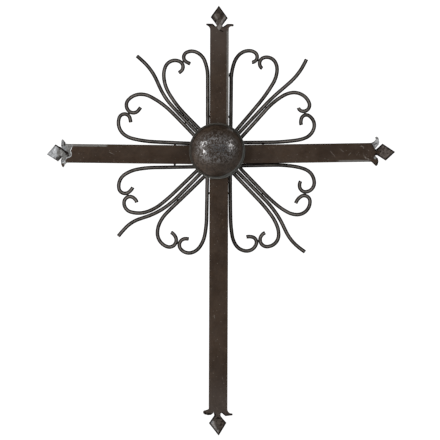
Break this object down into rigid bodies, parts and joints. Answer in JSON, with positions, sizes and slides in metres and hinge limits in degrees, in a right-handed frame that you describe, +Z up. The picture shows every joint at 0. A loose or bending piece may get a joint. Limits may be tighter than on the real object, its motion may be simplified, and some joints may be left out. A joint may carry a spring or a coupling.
{
  "type": "wrought iron wall cross",
  "caption": "Hanging iron cross of rectangular tube with flared, notched ends, diamond tips, scrolled rod hearts, wavy rays and a domed boss.",
  "frame": {"origin": "where the bars cross, on the upright's back face, against the wall", "axes": "+Z up along the upright, +Y into the wall, +X to the viewer's right as it hangs"},
  "size_m": [0.4733, 0.041, 0.5837],
  "materials": {
    "bar": "dark brown lacquer over steel, semi-gloss, lightly scratched",
    "rod": "near-black brown lacquer over steel rod",
    "tip": "brown lacquer over hammered steel plate, rubbed bright in places",
    "boss": "pitted brown lacquer rubbed back to grey steel"
  },
  "bodies": {
    "root": {"upright": "bar", "left_arm": "bar", "right_arm": "bar", "boss": "boss", "top_tip": "tip", "bottom_tip": "tip", "left_tip": "tip", "right_tip": "tip", "heart_upper_left_tall": "rod", "heart_upper_left_wide": "rod", "heart_upper_right_tall": "rod", "heart_upper_right_wide": "rod", "heart_lower_left_tall": "rod", "heart_lower_left_wide": "rod", "heart_lower_right_tall": "rod", "heart_lower_right_wide": "rod", "ray_upper_left": "rod", "ray_upper_right": "rod", "ray_lower_left": "rod", "ray_lower_right": "rod"}
  },
  "joints": []
}
